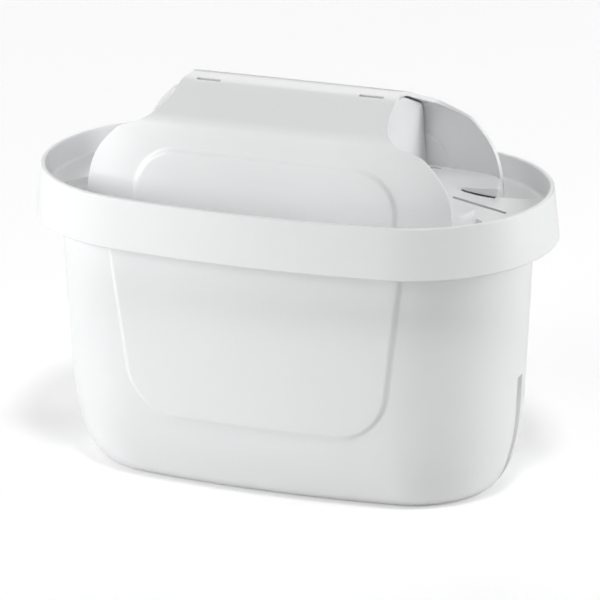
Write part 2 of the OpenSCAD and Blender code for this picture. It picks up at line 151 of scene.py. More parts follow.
class GripSettings(bpy.types.PropertyGroup):
    ridge_top: FloatProperty(
        name="Ridge height", description="Height of the ridge above the base",
        default=79.1 * MM, unit="LENGTH")
    ridge_half: FloatProperty(
        name="Ridge half width", description="Half width of the nearly flat strip along the ridge",
        default=3.0 * MM, min=0.001, unit="LENGTH")
    crown_radius: FloatProperty(
        name="Crown radius", description="Radius of that strip's slight crown",
        default=16.0 * MM, min=0.01, unit="LENGTH")
    ridge_edge: FloatProperty(
        name="Ridge edge radius", description="Radius between the strip and the roof",
        default=6.0 * MM, min=0.0005, unit="LENGTH")
    roof_slope: FloatProperty(
        name="Roof slope", description="Slope of the roof on each side of the ridge",
        default=math.radians(22.0), subtype="ANGLE")
    shoulder_half: FloatProperty(
        name="Shoulder half width", description="Half width at which roof and side would meet",
        default=15.2 * MM, min=0.005, unit="LENGTH")
    shoulder_radius: FloatProperty(
        name="Shoulder radius", description="Radius between roof and side",
        default=3.5 * MM, min=0.0005, unit="LENGTH")
    side_draft: FloatProperty(
        name="Side draft", description="Lean of the grip's sides",
        default=math.radians(9.0), subtype="ANGLE")
    plan_half: FloatProperty(
        name="Plan half length", description="Half length at which the grip's plan would close",
        default=46.0 * MM, min=0.02, unit="LENGTH")
    foot_half: FloatProperty(
        name="Foot half length", description="Half length of the grip at its foot",
        default=38.0 * MM, min=0.02, unit="LENGTH")
    neck_half: FloatProperty(
        name="Neck half length", description="Half length of the grip at its neck",
        default=22.4 * MM, min=0.01, unit="LENGTH")
    bell_drop: FloatProperty(
        name="Bell drop", description="How far below the ridge the bell outline turns",
        default=8.16 * MM, min=0.004, unit="LENGTH")
    ridge_end: FloatProperty(
        name="Ridge end radius", description="Rounding at the ends of the ridge",
        default=0.7 * MM, min=0.0002, unit="LENGTH")
    wall: FloatProperty(
        name="Wall", description="Thickness of the grip's wall",
        default=0.9 * MM, min=0.0005, unit="LENGTH")
    panel_rise: FloatProperty(
        name="Panel rise", description="How far the grip's panels stand proud",
        default=0.5 * MM, min=0.0, unit="LENGTH")
    panel_half: FloatProperty(
        name="Panel half width", description="Half width of the grip's panels",
        default=27.0 * MM, min=0.005, unit="LENGTH")
    panel_top: FloatProperty(
        name="Panel top", description="Height of the panels' upper edge",
        default=68.0 * MM, unit="LENGTH")
    panel_radius: FloatProperty(
        name="Panel radius", description="Corner radius of the grip's panels",
        default=8.5 * MM, min=0.001, unit="LENGTH")
    vent_length: FloatProperty(
        name="Vent length", description="Length of the vents beside the ridge",
        default=5.0 * MM, min=0.001, unit="LENGTH")
    vent_width: FloatProperty(
        name="Vent width", description="Width of the vents",
        default=0.9 * MM, min=0.0002, unit="LENGTH")
    vent_x: FloatProperty(
        name="Vent place", description="Distance of the vents from the middle, along the ridge",
        default=17.0 * MM, unit="LENGTH")
    vent_y: FloatProperty(
        name="Vent spread", description="Distance of the vents from the ridge line",
        default=2.8 * MM, unit="LENGTH")
    end_wall_x: FloatProperty(
        name="End wall place", description="Distance of the end walls' outer faces from the middle",
        default=21.6 * MM, unit="LENGTH")
    end_wall: FloatProperty(
        name="End wall thickness", description="Thickness of the end walls",
        default=1.3 * MM, min=0.0005, unit="LENGTH")
    end_gap: FloatProperty(
        name="End wall gap", description="Thin gap over the end walls",
        default=0.3 * MM, min=0.0, unit="LENGTH")


class PocketSettings(bpy.types.PropertyGroup):
    floor: FloatProperty(
        name="Floor height", description="Height of the finger pockets' floor",
        default=59.7 * MM, unit="LENGTH")
    lobe_end: FloatProperty(
        name="Lobe end", description="Distance of the floor's two lobes' ends from the middle",
        default=40.3 * MM, unit="LENGTH")
    lobe_slant: FloatProperty(
        name="Lobe slant", description="Length that a lobe loses for each width away from the middle",
        default=0.2)
    lobe_radius: FloatProperty(
        name="Lobe radius", description="Corner radius of the lobes",
        default=3.4 * MM, unit="LENGTH")
    tongue_start: FloatProperty(
        name="Tongue start", description="Distance from the middle at which the sloping tongue starts",
        default=30.7 * MM, unit="LENGTH")
    tongue_slope: FloatProperty(
        name="Tongue slope", description="Fall of the tongue for each length outwards",
        default=0.19)
    tongue_half: FloatProperty(
        name="Tongue half width", description="Half width of the tongue at its neck",
        default=5.2 * MM, unit="LENGTH")
    tongue_flare: FloatProperty(
        name="Tongue flare", description="Half width gained for the square of the length past the neck, per metre",
        default=45.0)
    tongue_neck: FloatProperty(
        name="Tongue neck", description="Distance of the tongue's neck from the middle",
        default=34.0 * MM, unit="LENGTH")
    slit_width: FloatProperty(
        name="Slit width", description="Width of the inlet slits",
        default=1.1 * MM, min=0.0002, unit="LENGTH")
    slit_start: FloatProperty(
        name="Slit start", description="Distance of the slits' inner ends from the middle",
        default=32.7 * MM, unit="LENGTH")
    slit_end: FloatProperty(
        name="Middle slit end", description="Distance of the middle slit's outer end from the middle",
        default=43.6 * MM, unit="LENGTH")
    side_slit_end: FloatProperty(
        name="Side slit end", description="Distance of the curved slits' outer ends from the middle",
        default=39.4 * MM, unit="LENGTH")
    corner_slit: FloatProperty(
        name="Corner slit length", description="Length of the thin slits beside the end walls",
        default=3.3 * MM, unit="LENGTH")
    thickness: FloatProperty(
        name="Thickness", description="Thickness of the pocket's floor",
        default=1.2 * MM, min=0.0005, unit="LENGTH")


class FinishSettings(bpy.types.PropertyGroup):
    white: FloatVectorProperty(
        name="White", description="Colour of the moulded plastic", subtype="COLOR",
        default=(0.86, 0.865, 0.87), min=0.0, max=1.0)
    mesh_colour: FloatVectorProperty(
        name="Screen", description="Colour of the woven screens", subtype="COLOR",
        default=(0.78, 0.79, 0.78), min=0.0, max=1.0)
    carbon: FloatVectorProperty(
        name="Carbon", description="Colour of the carbon granules", subtype="COLOR",
        default=(0.025, 0.024, 0.023), min=0.0, max=1.0)
    resin: FloatVectorProperty(
        name="Resin", description="Colour of the resin beads", subtype="COLOR",
        default=(0.55, 0.33, 0.13), min=0.0, max=1.0)
    gloss: FloatProperty(
        name="Roughness", description="Roughness of the moulded plastic",
        default=0.3, min=0.0, max=1.0, subtype="FACTOR")


class StageSettings(bpy.types.PropertyGroup):
    azimuth: FloatProperty(
        name="Azimuth", description="Direction of the camera about the upright axis, from the front",
        default=math.radians(21.32), subtype="ANGLE")
    elevation: FloatProperty(
        name="Elevation", description="Height of the camera's direction", default=math.radians(18.8),
        subtype="ANGLE")
    roll: FloatProperty(
        name="Roll", description="Turn of the camera about its own axis", default=math.radians(-0.45),
        subtype="ANGLE")
    distance: FloatProperty(
        name="Distance", description="Distance of the camera from its target", default=1.01,
        min=0.1, unit="LENGTH")
    target_height: FloatProperty(
        name="Target height", description="Height of the camera's target above the base",
        default=42.0 * MM, unit="LENGTH")
    pixels_per_metre: FloatProperty(
        name="Pixels per metre", description="Scale of the picture at the target", default=5070.0)
    picture_size: IntProperty(
        name="Picture size", description="Width and height of the picture in pixels", default=600)
    target_x: FloatProperty(
        name="Target column", description="Picture column of the camera's target", default=296.27)
    target_y: FloatProperty(
        name="Target row", description="Picture row of the camera's target", default=262.94)
    floor_size: FloatProperty(
        name="Floor size", description="Width of the floor", default=8.0, unit="LENGTH")
    floor_glow: FloatProperty(
        name="Floor glow", description="Light that the camera sees on the floor besides what falls on it",
        default=0.28, min=0.0)
    sky: FloatProperty(
        name="Sky", description="Strength of the even light from all round", default=0.0, min=0.0)


# Outline of the rim

class Oval:
    """The rim's outline, four arcs that meet smoothly. A place on it is named by the way it faces."""

    def __init__(self, half_length, half_width, bow):
        self.end_r = half_width - bow
        self.end_x = half_length - self.end_r
        self.side_r = (self.end_x ** 2 + half_width ** 2 - self.end_r ** 2) / (2 * bow)
        self.side_y = self.side_r - half_width
        self.joint = math.atan2(self.side_y, self.end_x)

    def place(self, angle, offset):
        """Point of the outline moved out by offset, where it faces angle."""
        c, s = math.cos(angle), math.sin(angle)
        if abs(s) > math.sin(self.joint):
            radius = self.side_r + offset
            return Vector((radius * c, radius * s - math.copysign(self.side_y, s)))
        radius = self.end_r + offset
        return Vector((math.copysign(self.end_x, c) + radius * c, radius * s))

    def angle_at(self, x, offset):
        """The way that the far side faces where it passes x, for x of zero or more."""
        if x < (self.side_r + offset) * math.cos(self.joint):
            return math.acos(x / (self.side_r + offset))
        return math.acos(min(1.0, (x - self.end_x) / (self.end_r + offset)))

    def even_angles(self, end_steps, side_steps):
        """Facing angles all round, evenly spread on each arc."""
        end = [-self.joint + 2 * self.joint * i / end_steps for i in range(end_steps)]
        side_turn = math.pi - 2 * self.joint
        side = [self.joint + side_turn * i / side_steps for i in range(side_steps)]
        half = end + side
        return half + [a + math.pi for a in half]


def settings():
    return bpy.context.scene.cartridge


def oval():
    rim = settings().rim
    return Oval(lid_high.x - rim.flare, lid_high.y - rim.flare, rim.side_bow)


# Mesh tools

def step_down(distance, width):
    """1 inside an outline, 0 outside it, with a soft step of the given width across it."""
    t = min(max(0.5 - distance / width, 0.0), 1.0)
    return t * t * (3.0 - 2.0 * t)


def rounded_box_distance(x, y, half_x, half_y, radius):
    """Distance of a point outside a rounded rectangle about the origin, below zero inside."""
    dx = abs(x) - half_x + radius
    dy = abs(y) - half_y + radius
    return math.hypot(max(dx, 0.0), max(dy, 0.0)) + min(max(dx, dy), 0.0) - radius


def stations(*stretches):
    """Places along a line: the first pair is (start, None), each other (end, spacing)."""
    places = [stretches[0][0]]
    for (start, _), (end, spacing) in zip(stretches, stretches[1:]):
        count = max(1, math.ceil(abs(end - start) / spacing - 1e-9))
        places += [start + (end - start) * k / count for k in range(1, count + 1)]
    return places


def filleted(corners, steps=4):
    """A closed outline from (x, z, radius) corners, each corner an arc of that radius."""
    points = []
    count = len(corners)
    for i, (x, z, radius) in enumerate(corners):
        here = Vector((x, z))
        if radius == 0.0:
            points.append(here)
            continue
        before = (Vector(corners[i - 1][:2]) - here).normalized()
        after = (Vector(corners[(i + 1) % count][:2]) - here).normalized()
        half = before.angle(after) / 2
        reach = radius / math.tan(half)
        centre = here + (before + after).normalized() * (radius / math.sin(half))
        start = here + before * reach - centre
        end = here + after * reach - centre
        turn = start.angle_signed(end)
        for k in range(steps + 1):
            points.append(centre + Matrix.Rotation(-turn * k / steps, 2) @ start)
    return points


def ring_sweep(bm, rings, closed=True):
    """Extrudes a ring of edges through rings of points, and joins the last to the first if closed."""
    station = bm.verts.layers.int.new("station")
    bm.faces.layers.int.new("plate")
    first = bmesh.ops.create_circle(bm, segments=len(rings[0]), radius=1.0)["verts"]
    for i, (vert, place) in enumerate(zip(first, rings[0])):
        vert[station] = i
        vert.co = place
    edges = list({e for v in first for e in v.link_edges})
    start_edges = edges
    for ring in rings[1:]:
        made = bmesh.ops.extrude_edge_only(bm, edges=edges)["geom"]
        edges = [g for g in made if isinstance(g, bmesh.types.BMEdge)]
        for vert in (g for g in made if isinstance(g, bmesh.types.BMVert)):
            vert.co = ring[vert[station]]
    if closed:
        bmesh.ops.bridge_loops(bm, edges=start_edges + edges)
    return start_edges, edges


def fill_slotted(bm, loops, slots):
    """Fills two loops with flat plates, cuts slots, (x0, x1, y0, y1), through both and lines them."""
    plate = bm.faces.layers.int["plate"]
    for index, edges in enumerate(loops):
        for face in bmesh.ops.edgeloop_fill(bm, edges=edges)["faces"]:
            face[plate] = index + 1
    for x0, x1, y0, y1 in slots:
        rims = []
        for index in range(len(loops)):
            for axis, at in ((1, y0), (1, y1), (0, x0), (0, x1)):
                faces = [f for f in bm.faces if f[plate] == index + 1 and touches(f, x0, x1, y0, y1)]
                geom = set(faces)
                for face in faces:
                    geom.update(face.edges)
                    geom.update(face.verts)
                normal = Vector((1, 0, 0)) if axis == 0 else Vector((0, 1, 0))
                bmesh.ops.bisect_plane(bm, geom=list(geom), dist=1e-8, plane_co=normal * at, plane_no=normal)
            inside = []
            for face in bm.faces:
                middle = face.calc_center_median()
                if face[plate] == index + 1 and x0 < middle.x < x1 and y0 < middle.y < y1:
                    inside.append(face)
            rim = {e for f in inside for e in f.edges if sum(g in inside for g in e.link_faces) == 1}
            bmesh.ops.delete(bm, geom=inside, context="FACES_ONLY")
            rims += list(rim)
        bmesh.ops.bridge_loops(bm, edges=rims)


def touches(face, x0, x1, y0, y1):
    """Whether a flat face's box overlaps a rectangle."""
    xs = [v.co.x for v in face.verts]
    ys = [v.co.y for v in face.verts]
    return min(xs) < x1 and max(xs) > x0 and min(ys) < y1 and max(ys) > y0


def mapped_grid(columns, rows, place, is_open=None):
    """A grid of columns by rows vertices, each moved to place(column, row), less the open cells."""
    bm = bmesh.new()
    bmesh.ops.create_grid(bm, x_segments=columns - 1, y_segments=rows - 1, size=1.0)

    def column(x):
        return (x + 1) / 2 * (columns - 1)

    def row(y):
        return (y + 1) / 2 * (rows - 1)

    if is_open:
        gone = []
        for face in bm.faces:
            middle = face.calc_center_median()
            if is_open(math.floor(column(middle.x)), math.floor(row(middle.y))):
                gone.append(face)
        bmesh.ops.delete(bm, geom=gone, context="FACES")
    for vert in bm.verts:
        vert.co = place(round(column(vert.co.x)), round(row(vert.co.y)))
    return bm


def add_mesh(bm, part):
    """Adds a finished part to a mesh that is being built."""
    mesh = bpy.data.meshes.new("part")
    part.to_mesh(mesh)
    part.free()
    bm.from_mesh(mesh)
    bpy.data.meshes.remove(mesh)


def round_edges(bm, edges, radius, segments=3):
    if edges:
        bmesh.ops.bevel(bm, geom=edges, offset=radius, offset_type="OFFSET", segments=segments,
                        profile=0.5, affect="EDGES", material=-1, clamp_overlap=True)


def mirrored_end(bm):
    """Turns a copy of the right end half round to make the left end."""
    geom = list(bm.verts) + list(bm.edges) + list(bm.faces)
    made = bmesh.ops.duplicate(bm, geom=geom)["geom"]
    verts = [g for g in made if isinstance(g, bmesh.types.BMVert)]
    bmesh.ops.rotate(bm, verts=verts, cent=(0, 0, 0), matrix=Matrix.Rotation(math.pi, 3, "Z"))


def finish_piece(bm, name, material, replaced, sharp=math.radians(38)):
    """Shades a mesh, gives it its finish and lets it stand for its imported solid."""
    bmesh.ops.recalc_face_normals(bm, faces=bm.faces)
    for face in bm.faces:
        face.smooth = True
    for edge in bm.edges:
        edge.smooth = edge.calc_face_angle(0.0) < sharp
    mesh = bpy.data.meshes.new(name)
    bm.to_mesh(mesh)
    bm.free()
    piece = bpy.data.objects.new(name, mesh)
    bpy.context.scene.collection.objects.link(piece)
    mesh.materials.append(material)
    normals = piece.modifiers.new("Even shading", "WEIGHTED_NORMAL")
    normals.keep_sharp = True
    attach(piece, BODY)
    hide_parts(replaced)
    return piece


# Finishes

def node_group(name, inputs, outputs):
    """An empty shader group, or the one already made: (group, input node, output node, is new)."""
    if name in bpy.data.node_groups:
        return bpy.data.node_groups[name], None, None, False
    group = bpy.data.node_groups.new(name, "ShaderNodeTree")
    for socket_name, kind, default in inputs:
        socket = group.interface.new_socket(name=socket_name, in_out="INPUT", socket_type=kind)
        socket.default_value = default
    for socket_name, kind in outputs:
        group.interface.new_socket(name=socket_name, in_out="OUTPUT", socket_type=kind)
    return group, group.nodes.new("NodeGroupInput"), group.nodes.new("NodeGroupOutput"), True


def moulded_grain():
    """Slow drift of tone and gloss in a moulding, with the fine grain of its tool."""
    group, source, sink, is_new = node_group(
        "Moulded grain",
        [("Colour", "NodeSocketColor", (0.86, 0.865, 0.87, 1.0)), ("Drift", "NodeSocketFloat", 0.02),
         ("Roughness", "NodeSocketFloat", 0.3), ("Grain scale", "NodeSocketFloat", 2600.0),
         ("Grain depth", "NodeSocketFloat", 0.03)],
        [("Colour", "NodeSocketColor"), ("Roughness", "NodeSocketFloat"), ("Normal", "NodeSocketVector")])
    if not is_new:
        return group
    nodes, links = group.nodes, group.links
    place = nodes.new("ShaderNodeTexCoord")
    flow = nodes.new("ShaderNodeTexNoise")
    flow.inputs["Scale"].default_value = 38.0
    flow.inputs["Detail"].default_value = 3.0
    links.new(place.outputs["Object"], flow.inputs["Vector"])
    centred = nodes.new("ShaderNodeMath")
    centred.operation = "SUBTRACT"
    centred.inputs[1].default_value = 0.5
    links.new(flow.outputs["Fac"], centred.inputs[0])
    tone = nodes.new("ShaderNodeMath")
    tone.operation = "MULTIPLY_ADD"
    tone.inputs[2].default_value = 1.0
    links.new(centred.outputs[0], tone.inputs[0])
    links.new(source.outputs["Drift"], tone.inputs[1])
    colour = nodes.new("ShaderNodeVectorMath")
    colour.operation = "SCALE"
    links.new(source.outputs["Colour"], colour.inputs[0])
    links.new(tone.outputs[0], colour.inputs["Scale"])
    links.new(colour.outputs["Vector"], sink.inputs["Colour"])
    gloss = nodes.new("ShaderNodeMath")
    gloss.operation = "MULTIPLY_ADD"
    gloss.inputs[1].default_value = 0.12
    links.new(centred.outputs[0], gloss.inputs[0])
    links.new(source.outputs["Roughness"], gloss.inputs[2])
    links.new(gloss.outputs[0], sink.inputs["Roughness"])
    grain = nodes.new("ShaderNodeTexNoise")
    grain.inputs["Detail"].default_value = 2.0
    links.new(place.outputs["Object"], grain.inputs["Vector"])
    links.new(source.outputs["Grain scale"], grain.inputs["Scale"])
    bump = nodes.new("ShaderNodeBump")
    bump.inputs["Distance"].default_value = 0.05 * MM
    links.new(source.outputs["Grain depth"], bump.inputs["Strength"])
    links.new(grain.outputs["Fac"], bump.inputs["Height"])
    links.new(bump.outputs["Normal"], sink.inputs["Normal"])
    return group


def new_material(name):
    material = bpy.data.materials.new(name)
    material.use_nodes = True
    return material, material.node_tree.nodes, material.node_tree.links, material.node_tree.nodes["Principled BSDF"]


def white_plastic():
    finish = settings().finish
    name = "White polypropylene"
    if name in bpy.data.materials:
        return bpy.data.materials[name]
    material, nodes, links, shader = new_material(name)
    grain = nodes.new("ShaderNodeGroup")
    grain.node_tree = moulded_grain()
    grain.inputs["Colour"].default_value = (*finish.white, 1.0)
    grain.inputs["Drift"].default_value = 0.03
    grain.inputs["Roughness"].default_value = finish.gloss
    grain.inputs["Grain depth"].default_value = 0.12
    links.new(grain.outputs["Colour"], shader.inputs["Base Color"])
    links.new(grain.outputs["Roughness"], shader.inputs["Roughness"])
    links.new(grain.outputs["Normal"], shader.inputs["Normal"])
    shader.inputs["IOR"].default_value = 1.49
    shader.inputs["Subsurface Weight"].default_value = 0.0
    return material


def woven_screen():
    """Fine plain weave of plastic threads."""
    finish = settings().finish
    material, nodes, links, shader = new_material("Woven screen")
    place = nodes.new("ShaderNodeTexCoord")
    waves = []
    for axis in ("X", "Y"):
        wave = nodes.new("ShaderNodeTexWave")
        wave.bands_direction = axis
        wave.inputs["Scale"].default_value = 420.0
        links.new(place.outputs["Object"], wave.inputs["Vector"])
        waves.append(wave)
    weave = nodes.new("ShaderNodeMath")
    weave.operation = "MAXIMUM"
    links.new(waves[0].outputs["Fac"], weave.inputs[0])
    links.new(waves[1].outputs["Fac"], weave.inputs[1])
    tone = nodes.new("ShaderNodeMix")
    tone.data_type = "RGBA"
    tone.inputs["A"].default_value = (*[0.35 * c for c in finish.mesh_colour], 1.0)
    tone.inputs["B"].default_value = (*finish.mesh_colour, 1.0)
    links.new(weave.outputs[0], tone.inputs["Factor"])
    links.new(tone.outputs["Result"], shader.inputs["Base Color"])
    bump = nodes.new("ShaderNodeBump")
    bump.inputs["Distance"].default_value = 0.1 * MM
    bump.inputs["Strength"].default_value = 0.6
    links.new(weave.outputs[0], bump.inputs["Height"])
    links.new(bump.outputs["Normal"], shader.inputs["Normal"])
    shader.inputs["Roughness"].default_value = 0.7
    return material


def granule_bed():
    """Loose bed of dark carbon granules and amber resin beads."""
    finish = settings().finish
    material, nodes, links, shader = new_material("Granule bed")
    place = nodes.new("ShaderNodeTexCoord")
    cells = nodes.new("ShaderNodeTexVoronoi")
    cells.inputs["Scale"].default_value = 1100.0
    links.new(place.outputs["Object"], cells.inputs["Vector"])
    pick = nodes.new("ShaderNodeSeparateColor")
    links.new(cells.outputs["Color"], pick.inputs["Color"])
    kind = nodes.new("ShaderNodeMath")
    kind.operation = "GREATER_THAN"
    kind.inputs[1].default_value = 0.55
    links.new(pick.outputs["Red"], kind.inputs[0])
    tone = nodes.new("ShaderNodeMix")
    tone.data_type = "RGBA"
    tone.inputs["A"].default_value = (*finish.carbon, 1.0)
    tone.inputs["B"].default_value = (*finish.resin, 1.0)
    links.new(kind.outputs[0], tone.inputs["Factor"])
    links.new(tone.outputs["Result"], shader.inputs["Base Color"])
    bump = nodes.new("ShaderNodeBump")
    bump.invert = True
    bump.inputs["Distance"].default_value = 0.4 * MM
    links.new(cells.outputs["Distance"], bump.inputs["Height"])
    links.new(bump.outputs["Normal"], shader.inputs["Normal"])
    shader.inputs["Roughness"].default_value = 0.55
    return material


# Cup

def cup_offset(z):
    """Offset of the cup's outer face from the lip's outline, at a height."""
    cup = settings().cup
    band_low = rim_heights()["band_low"]
    foot = -cup.inset - (band_low - cup.foot_height) * math.tan(cup.taper)
    if z >= cup.foot_height:
        return -cup.inset - (band_low - z) * math.tan(cup.taper)
    lean = cup.foot_height * math.tan(cup.taper)
    sine = 1.0 - z / cup.foot_height
    return foot - lean * sine - (cup.foot_width - lean) * (1.0 - math.sqrt(max(0.0, 1.0 - sine * sine)))


def rim_heights():
    """Heights of the rim's parts, from the cup's top face up."""
    rim = settings().rim
    deck_under = cup_high.z
    deck = deck_under + rim.deck_wall
    top = deck + rim.well_depth
    return {"deck_under": deck_under, "deck": deck, "top": top, "band_low": top - rim.band_height}


def panel_half_width(z):
    """Half width of the cup's panel at a height, held below its foot."""
    cup = settings().cup
    return cup.panel_half - cup.panel_slope * (rim_heights()["band_low"] - max(z, cup.panel_low))


def quarter_angles(outline, z, offset):
    """Facing angles from the end's middle to the side's middle, close together at groove and panel edge."""
    cup = settings().cup
    half_groove = cup.groove_width / 2
    radius = outline.end_r + offset
    groove = [half_groove * share for share in (0.0, 0.4, 0.75, 0.88, 1.0, 1.12, 1.3, 1.8)]
    angles = [math.asin(y / radius) for y in groove]
    outer = panel_half_width(z) + 1.2 * MM
    inner = panel_half_width(z) - cup.panel_radius - 0.8 * MM
    edge_angle = outline.angle_at(outer, offset)
    angles += [angles[-1] + (edge_angle - angles[-1]) * i / 30 for i in range(1, 30)]
    border = [outer + (inner - outer) * i / 36 for i in range(37)]
    middle = [inner * (1 - i / 12) for i in range(1, 13)]
    return angles + [outline.angle_at(x, offset) for x in border + middle]


def round_angles(quarter):
    """Angles all round from those of one quarter."""
    half = quarter + [math.pi - a for a in reversed(quarter[:-1])]
    return half + [a + math.pi for a in half[1:-1]]


def cup_face_ring(outline, z, dressed=True):
    """Ring of points on the cup's outer face, with its panels and key grooves."""
    cup = settings().cup
    offset = cup_offset(z)
    points = []
    for angle in round_angles(quarter_angles(outline, z, offset)):
        flat = outline.place(angle, offset)
        if dressed:
            half = panel_half_width(z)
            lean = math.cos(math.atan(cup.panel_slope))
            reach = rim_heights()["top"] - cup.panel_low
            panel = rounded_box_distance(
                flat.x + math.copysign(cup.panel_half - half, flat.x), z - rim_heights()["top"],
                cup.panel_half, reach, cup.panel_radius) * lean
            rise = cup.panel_rise * step_down(panel, 1.0 * MM)
            groove = max(abs(flat.y) - cup.groove_width / 2, z - cup.groove_top)
            if abs(math.cos(angle)) > 0.5:
                rise -= cup.groove_depth * step_down(groove, 0.4 * MM)
            flat += Vector((math.cos(angle), math.sin(angle))) * rise
        points.append((flat.x, flat.y, z))
    return points


def offset_ring(outline, z, offset, angle_z=0.0):
    """Plain ring of the same stations, at an offset and a height."""
    angles = round_angles(quarter_angles(outline, angle_z, offset))
    return [(*outline.place(a, offset), z) for a in angles]


def round_ring(points, radius, z):
    """Ring of the same stations drawn in to a circle."""
    ring = []
    for x, y, _ in points:
        length = math.hypot(x, y)
        ring.append((x / length * radius, y / length * radius, z))
    return ring


def cup_mesh():
    cup = settings().cup
    outline = oval()
    heights = rim_heights()
    flange_low = heights["deck_under"] - cup.flange
    flange_offset = -settings().rim.lip_width - 0.9 * MM
    floor_offset = cup_offset(0.0) - 2.0 * MM
    base = offset_ring(outline, 0.0, floor_offset)
    rings = [
        round_ring(base, cup.outlet_radius - 0.2 * MM, cup.outlet_depth),
        round_ring(base, cup.outlet_radius, cup.outlet_depth - 0.2 * MM),
        round_ring(base, cup.outlet_radius, 0.2 * MM),
        round_ring(base, cup.outlet_radius + 0.2 * MM, 0.0),
        base]
    foot_steps = 26
    low_z = cup.panel_low - 1.2 * MM
    low_turn = math.asin(1.0 - low_z / cup.foot_height)
    for i in range(foot_steps):
        turn = math.pi / 2 + (low_turn - math.pi / 2) * i / foot_steps
        rings.append(cup_face_ring(outline, cup.foot_height * (1.0 - math.sin(turn))))
    panel_corner = cup.panel_low + cup.panel_radius + 0.8 * MM
    for z in stations((low_z, None), (panel_corner, 0.3 * MM), (flange_low - 0.3 * MM, 1.8 * MM)):
        rings.append(cup_face_ring(outline, z))
    rings.append(cup_face_ring(outline, flange_low))
    rings.append(offset_ring(outline, flange_low, flange_offset, flange_low))
    rings.append(offset_ring(outline, heights["deck_under"], flange_offset, flange_low))
    rings.append(offset_ring(outline, heights["deck_under"], cup_offset(flange_low) - cup.wall, flange_low))
    inner_steps = 12
    for z in stations((flange_low, None), (cup.foot_height, 9.0 * MM)):
        rings.append(offset_ring(outline, z, cup_offset(z) - cup.wall, z))
    inner_width = cup.foot_width - 0.6 * MM
    for i in range(1, inner_steps + 1):
        turn = math.pi / 2 * i / inner_steps
        inside = cup_offset(cup.foot_height) - cup.wall - inner_width * (1 - math.cos(turn))
        z = cup.foot_height - (cup.foot_height - cup.floor) * math.sin(turn)
        rings.append(offset_ring(outline, z, inside, z))
    rings.append(offset_ring(outline, cup.floor, floor_offset))
    rings.append(round_ring(base, cup.outlet_radius - 0.2 * MM, cup.floor))
    bm = bmesh.new()
    start, end = ring_sweep(bm, rings, closed=False)
    slots = []
    for i in range(cup.outlet_count):
        y = (i - (cup.outlet_count - 1) / 2) * 1.5 * cup.outlet_slit
        reach = math.sqrt(cup.outlet_radius ** 2 - y * y) - 3.0 * MM
        slots.append((-reach, reach, y - cup.outlet_slit / 2, y + cup.outlet_slit / 2))
    fill_slotted(bm, [start, end], slots)
    return bm


# Lid

def rim_and_deck(bm):
    """Band, lip and well in one sweep, with the flat deck inside them."""
    rim = settings().rim
    pocket = settings().pocket
    heights = rim_heights()
    r = rim.edge_radius
    plate = 6.0 * MM
    section = filleted([
        (-rim.lip_width, heights["top"], r),
        (0.0, heights["top"], r),
        (rim.flare, heights["band_low"], r),
        (rim.flare - rim.band_wall, heights["band_low"], r * 0.6),
        (-rim.lip_width - 0.2 * MM, heights["deck_under"], 0.0),
        (-plate, heights["deck_under"], 0.0),
        (-plate, heights["deck"], 0.0),
        (-rim.lip_width - 0.2 * MM, heights["deck"], 0.8 * MM)])
    outline = oval()
    angles = outline.even_angles(84, 28)
    inner = next(i for i, p in enumerate(section) if abs(p.x + plate) < 1e-7)
    ordered = section[inner + 1:] + section[:inner + 1]
    part = bmesh.new()
    rings = [[(*outline.place(a, p.x), p.y) for a in angles] for p in ordered]
    start, end = ring_sweep(part, rings, closed=False)
    reach_x = pocket.slit_end + 0.6 * MM
    reach_y = 7.0 * MM
    holes = [(-reach_x, reach_x, -reach_y, reach_y)]
    near, far = settings().grip.end_wall_x - 1.0 * MM, settings().grip.end_wall_x + 5.0 * MM
    for low, high in ((near, far), (-far, -near)):
        holes += [(low, high, 8.0 * MM, 13.0 * MM), (low, high, -13.0 * MM, -8.0 * MM)]
    fill_slotted(part, [start, end], holes)
    add_mesh(bm, part)


def grip_section():
    """Where the straight and round stretches of the grip's section meet, seen from the end."""
    grip = settings().grip
    slope, draft = grip.roof_slope, grip.side_draft
    crown = math.asin(grip.ridge_half / grip.crown_radius)
    edge = Vector((grip.ridge_half, grip.ridge_top - grip.crown_radius * (1 - math.cos(crown))))
    edge -= Vector((math.sin(crown), math.cos(crown))) * grip.ridge_edge
    roof = edge + Vector((math.sin(slope), math.cos(slope))) * grip.ridge_edge
    corner = Vector((grip.shoulder_half, roof.y - (grip.shoulder_half - roof.x) * math.tan(slope)))
    turn = math.pi / 2 - draft - slope
    reach = grip.shoulder_radius * math.tan(turn / 2)
    low = corner + Vector((math.sin(draft), -math.cos(draft))) * reach
    centre = low - Vector((math.cos(draft), math.sin(draft))) * grip.shoulder_radius
    return {"low": low, "centre": centre, "turn": turn, "roof": roof, "edge": edge, "crown": crown}


def grip_rows():
    """Rows of the grip's sheet from the foot to the ridge: (half width, height, turn of the face)."""
    grip = settings().grip
    s = grip_section()
    foot_z = rim_heights()["deck"] - 0.9 * MM
    panel_foot = grip.panel_top - grip.panel_radius - 0.8 * MM
    heights = stations((foot_z, None), (panel_foot, 1.0 * MM), (grip.panel_top + 1.0 * MM, 0.3 * MM),
                       (s["low"].y, 0.8 * MM))
    rows = [(side_half(z), z, grip.side_draft) for z in heights]
    steps = 10
    for i in range(1, steps + 1):
        angle = grip.side_draft + s["turn"] * i / steps
        rows.append((s["centre"].x + grip.shoulder_radius * math.cos(angle),
                     s["centre"].y + grip.shoulder_radius * math.sin(angle), angle))
    vent_in = grip.vent_y - grip.vent_width / 2
    vent_out = grip.vent_y + grip.vent_width / 2
    across = stations((rows[-1][0], None), (vent_out, 0.9 * MM), (vent_in, 0.15 * MM), (0.0, 0.6 * MM))
    for y in across[1:]:
        rows.append((y, *roof_face(y, s)))
    return rows


